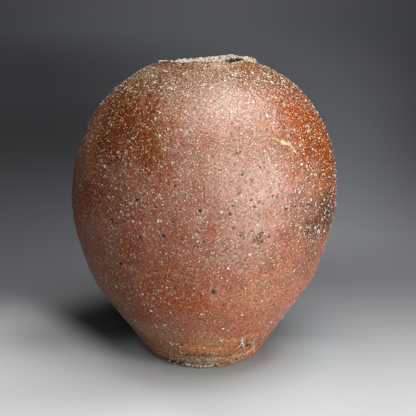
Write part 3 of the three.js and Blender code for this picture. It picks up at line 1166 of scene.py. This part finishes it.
def zoned_clay(n, height):
    """The clay's colour: mottled by the fire, and covered zone by zone."""
    body = n.mix(n.between(height, 0.10, 0.27), LOWER_CLAY, UPPER_CLAY)
    dusky = n.both(n.between(n.noise(13, 4, 0.55), 0.48, 0.30, 0, 0.45), n.between(height, 0.04, 0.12))
    body = n.mix(dusky, body, DARK_CLAY)
    body = n.mix(n.between(n.noise(27, 4, 0.6), 0.45, 0.70, 0, 0.5), body, PINK_CLAY)
    for name, share, colour in ZONE_COLOURS:
        body = n.mix(n.both(n.mask(name), share), body, colour)
    mottle = n.both(n.mask("brown"), n.between(n.noise(130, 3, 0.6), 0.52, 0.36, 0, 0.5))
    body = n.mix(mottle, body, OLIVE_CLAY)
    # smoke, and painted shade along the foot's joint
    body = n.mix(n.both(n.mask("smoke_and_joint_shade"), n.between(n.noise(150, 4, 0.7), 0.22, 0.55)), body, SMOKE_AND_JOINT_SHADE)
    body = n.mix(n.both(n.mask("ash"), n.between(n.noise(260, 3), 0.35, 0.62)), body, ASH)
    for name, colour in BARE_COLOURS:
        body = n.mix(n.mask(name), body, colour)
    along = n.add("Mapping", None, Vector=n.place, Scale=(22, 22, 420)).outputs["Vector"]
    streaks = n.shaded(body, n.noise(1.0, 3, 0.6, along), 0.72, 1.3)
    return n.mix(n.mask("wiped"), body, streaks)


def sanded(n, body, height, warm):
    """The clay's colour peppered with light and pale sand and with dark specks, partly dark spots and partly
    painted shade between the grains, with painted shade ringing the pale sand; and how far that sand stands
    out.
    """
    # the sand is fainter in the warm zones and in the painted highlight
    calm = n.most(warm, n.both(n.mask("pale_patch_and_highlight"), 0.7))
    light = n.specks(n.place, 620, 0.8, 0.62)
    sandy = n.both(n.between(height, 0.06, 0.20, 0.80, 1.0), n.between(n.mask("smoke_and_joint_shade"), 0.0, 1.0, 1.0, 0.5),
                   n.between(n.mask("wiped"), 0.0, 1.0, 1.0, 0.6))
    body = n.mix(n.both(light, sandy, n.between(calm, 0.2, 1.0, 0.38, 0.22)), body, SAND)
    dark = n.specks(n.shifted((3.1, 1.7, 5.3)), 540, 0.75, 0.70)
    # painted shade: the dark specks are strongest on the shoulder, where the light grazes it, and low on the
    # wall
    deep = n.most(n.between(height, 0.29, 0.35, 0.80, 1.0), n.between(height, 0.10, 0.17, 1.0, 0.80))
    body = n.mix(n.both(dark, deep), body, n.times(body, SPECK_DARK))
    strewn = n.shifted((7.7, 4.2, 2.9))
    # painted shade: a dark ring around each pale speck
    rims = n.specks(strewn, 560, 0.23, 0.85)
    body = n.mix(n.both(rims, 0.7), body, n.times(body, SPECK_DARK))
    pale = n.specks(strewn, 560, 0.23, 0.56)
    body = n.mix(n.both(pale, sandy, 0.9), body, CREAM)
    return body, n.calc("SUBTRACT", n.plus(light, pale), dark)


def charred_and_shaded(n, body):
    """The clay's colour with ragged black in pits, gaps and streaks; in the foot's gaps and beside the burst
    stone the black is painted shade.
    """
    ragged = n.calc("SUBTRACT", n.noise(750, 2, 0.6), 0.5)
    burnt = n.between(n.plus(n.mask("char_and_shade"), n.both(ragged, 1.8)), 0.50, 0.70)
    burnt = n.both(burnt, n.between(n.mask("char_and_shade"), 0.02, 0.25))
    return n.mix(n.both(burnt, 0.95), body, CHAR_AND_SHADE)


def clay_material():
    """Fired clay with its zones and sand, dull where it is scorched, smoky, painted with shade in the foot's
    joint, or wiped.
    """
    n = Nodes("fired_clay")
    height = n.add("SeparateXYZ", None, Vector=n.place).outputs["Z"]
    warm = n.most(n.mask("scorch"), n.mask("brown"))
    grit = n.noise(300, 4, 0.8)
    body = n.shaded(zoned_clay(n, height), grit, 0.60, 1.36)
    body, fine = sanded(n, body, height, warm)
    body = n.mix(warm, body, n.times(body, WARM_FILM))
    n.set("Base Color", charred_and_shaded(n, body))
    dull = n.most(warm, n.mask("smoke_and_joint_shade"), n.mask("haze"), n.mask("wiped"))
    n.set("Specular IOR Level", n.between(dull, 0.0, 0.9, 1.0, 0.15))
    dry = n.most(n.mask("bare"), n.mask("inside"), n.mask("fracture"))
    sheen = n.between(n.noise(90, 3), 0.3, 0.7, 0.29, 0.42)
    n.set("Roughness", n.plus(sheen, n.both(dry, 0.4)))
    bump = n.add("Bump", None, Strength=0.8, Distance=0.0008, Height=n.plus(grit, n.both(fine, 0.25)))
    n.set("Normal", bump.outputs["Normal"])
    return n.material


def grain_material(name, light, dark, rim_colour, roughness):
    """Grains: from light to dark by a tint of their own, their rims blending into a given colour; on feldspar
    and stones it is a dark ring, partly the gap around the grain and partly painted shade.
    """
    n = Nodes(name)
    body = n.mix(n.between(n.mask("tint"), 0.3, 1.0), light, dark)
    edge = n.plus(n.mask("crown"), n.both(n.noise(500, 2), 0.5))
    # the rim's colour: painted shade with a gap for feldspar and stones, the clay around them for ash and
    # crumbs
    body = n.mix(n.between(edge, 0.95, 0.5, 0, 0.85), body, rim_colour)
    n.set("Base Color", n.shaded(body, n.noise(1500, 2), 0.8, 1.15))
    n.set("Roughness", n.between(n.noise(900, 2), 0.3, 0.7, roughness, roughness + 0.2))
    return n.material


# Stage, light and camera

FLOOR_FRONT = paint(220, 222, 223)
FLOOR_FRONT_RIGHT = paint(214, 216, 217)
FLOOR_BACK = paint(138, 139, 142)
FLOOR_BACK_LEFT = paint(131, 132, 135)
FLOOR_SHADE = paint(92, 92, 92)
# painted shade: a cool darkening of the floor near the jar's foot, taking out the clay's reddish bounce
FLOOR_COOL_SHADE = (0.81, 0.90, 0.92, 1)
BOUNCE_LEFT = paint(112, 100, 84)
BOUNCE_RIGHT = paint(215, 213, 210)
GLOW_LEFT = paint(119, 119, 120)
GLOW_FRONT = paint(72, 76, 77)
BACKDROP_DIM = paint(42, 42, 44)
BACKDROP_FAR = paint(54, 55, 57)
BACKDROP_LIT = paint(78, 79, 82)
UNLIT = (0, 0, 0, 1)
FLOOR_RADIUS = 40
FLOOR_SIDES = 96
LIGHT_AIM = Vector((0, 0, 0.22))


def floor_tone(n, across, depth, apart):
    """The floor's grey with painted light and shade: pale in front and darker behind as the light falls off,
    a painted shadow beside the jar, and a cool painted shade near its foot.
    """
    front = n.mix(n.between(across, 0.10, 0.22), FLOOR_FRONT, FLOOR_FRONT_RIGHT)
    back = n.mix(n.between(across, 0.0, -0.4), FLOOR_BACK, FLOOR_BACK_LEFT)
    tone = n.mix(n.between(depth, -0.25, 0.30), front, back)
    shade = n.both(n.between(apart, 0.32, 0.18), n.between(across, -0.02, -0.12),
                   n.between(depth, -0.04, 0.07))
    tone = n.mix(shade, tone, FLOOR_SHADE)
    # painted shade near the jar's foot
    cool_shade = n.both(n.between(apart, 0.26, 0.10), n.between(across, -0.08, 0.04))
    return n.mix(cool_shade, tone, FLOOR_COOL_SHADE, "MULTIPLY")


def floor_glow(n, across, depth, apart):
    """Studio light on the floor: left of the jar, in front of it, and in a soft pool far behind it."""
    slant = n.plus(n.both(across, -0.855), n.both(depth, -0.518))
    left = n.both(n.between(slant, 0.085, 0.155), n.between(depth, 0.26, 0.06),
                  n.between(depth, -0.17, -0.07, 0.55, 1.0), n.between(apart, 0.9, 0.45))
    front = n.both(n.between(apart, 0.075, 0.11), n.between(apart, 0.22, 0.14),
                   n.between(depth, 0.06, 0.0), n.between(across, -0.12, -0.04))
    glow = n.mix(left, n.mix(front, UNLIT, GLOW_FRONT), GLOW_LEFT)
    bearing = n.calc("DIVIDE", across, n.plus(depth, -CAMERA_AT.y))
    aside = n.calc("SUBTRACT", bearing, n.between(depth, 1.5, 9.0, 0.13, 0.01))
    pool = n.both(n.between(aside, -0.28, 0.0),
                  n.between(aside, n.between(depth, 1.5, 9.0, 0.16, 0.24), 0.0))
    backdrop = n.mix(n.between(depth, 1.2, 3.0), UNLIT, BACKDROP_DIM)
    backdrop = n.mix(n.between(depth, 2.5, 8.0), backdrop, BACKDROP_FAR)
    backdrop = n.mix(pool, backdrop, BACKDROP_LIT)
    return n.mix(n.between(depth, 0.28, 0.6), glow, backdrop)


def floor():
    """A floor whose colour and glow are painted light and shade: pale in front of the jar and greyer far
    behind it.
    """
    bm = bmesh.new()
    bmesh.ops.create_circle(bm, cap_ends=True, segments=FLOOR_SIDES, radius=FLOOR_RADIUS)
    mesh = bpy.data.meshes.new("floor")
    bm.to_mesh(mesh)
    bm.free()
    piece = new_object("floor", mesh)
    n = Nodes("floor_paper")
    parts = n.add("SeparateXYZ", None, Vector=n.place).outputs
    across, depth = parts["X"], parts["Y"]
    apart = n.add("VectorMath", {"operation": "LENGTH"}, Vector=n.place).outputs["Value"]
    bounce = n.mix(n.between(across, -0.14, 0.14), BOUNCE_LEFT, BOUNCE_RIGHT)
    path = n.add("LightPath").outputs
    shown = n.most(path["Is Camera Ray"], path["Is Glossy Ray"])
    n.set("Base Color", n.mix(shown, bounce, floor_tone(n, across, depth, apart)))
    n.set("Roughness", 0.9)
    n.set("Specular IOR Level", 0.1)
    n.set("Emission Color", floor_glow(n, across, depth, apart))
    n.set("Emission Strength", shown)
    mesh.materials.append(n.material)


def soft_box(name, azimuth, elevation, distance, width, height, power):
    """A soft box aimed at the jar; azimuth is to the right of the camera, in degrees."""
    light = bpy.data.lights.new(name, "AREA")
    light.shape = "RECTANGLE"
    light.size = width
    light.size_y = height
    light.energy = power
    lamp = new_object(name, light)
    turn, rise = math.radians(azimuth), math.radians(elevation)
    way = Vector((math.sin(turn) * math.cos(rise), -math.cos(turn) * math.cos(rise), math.sin(rise)))
    lamp.location = LIGHT_AIM + way * distance
    lamp.rotation_euler = (-way).to_track_quat("-Z", "Y").to_euler()


def world_light(tone, strength):
    """Even light from all around."""
    world = bpy.data.worlds.new("studio")
    world.use_nodes = True
    back = world.node_tree.nodes["Background"]
    back.inputs["Color"].default_value = tone
    back.inputs["Strength"].default_value = strength
    bpy.context.scene.world = world


def camera():
    """The photograph's camera."""
    data = bpy.data.cameras.new("camera")
    data.sensor_width = SENSOR
    data.lens = LENS
    eye = new_object("camera", data)
    eye.location = CAMERA_AT
    eye.rotation_euler = (math.pi / 2 - CAMERA_PITCH, 0, -CAMERA_YAW)
    bpy.context.scene.camera = eye


CLAY = clay_material()
FELDSPAR = grain_material("feldspar", FELDSPAR_WHITE, FELDSPAR_BUFF, RIM_SHADE_CLAY, 0.28)
STONE = grain_material("stones", STONE_WHITE, STONE_SLATE, RIM_SHADE_CLAY, 0.35)
ASH_CRUST = grain_material("ash_crust", ASH_PALE, ASH_DARK, BROWN_CLAY, 0.55)
CRUMBS = grain_material("foot_crumbs", CRUMB_PALE, CRUMB_DARK, BARE_CLAY, 0.7)
base_slab()
wall()
grains(*neck_stump())
wall_stones()
burst_stones()
ash_scar()
foot_crumbs()
camera()
floor()
soft_box("side", azimuth=49, elevation=0, distance=1.25, width=0.5, height=0.9, power=14)
soft_box("front", azimuth=4, elevation=22, distance=1.8, width=1.0, height=0.7, power=9.0)
soft_box("top", azimuth=56, elevation=71, distance=1.0, width=0.7, height=0.6, power=9.4)
world_light(tone=(0.8, 0.8, 0.82, 1), strength=0.035)
bpy.context.scene.view_settings.view_transform = "Standard"
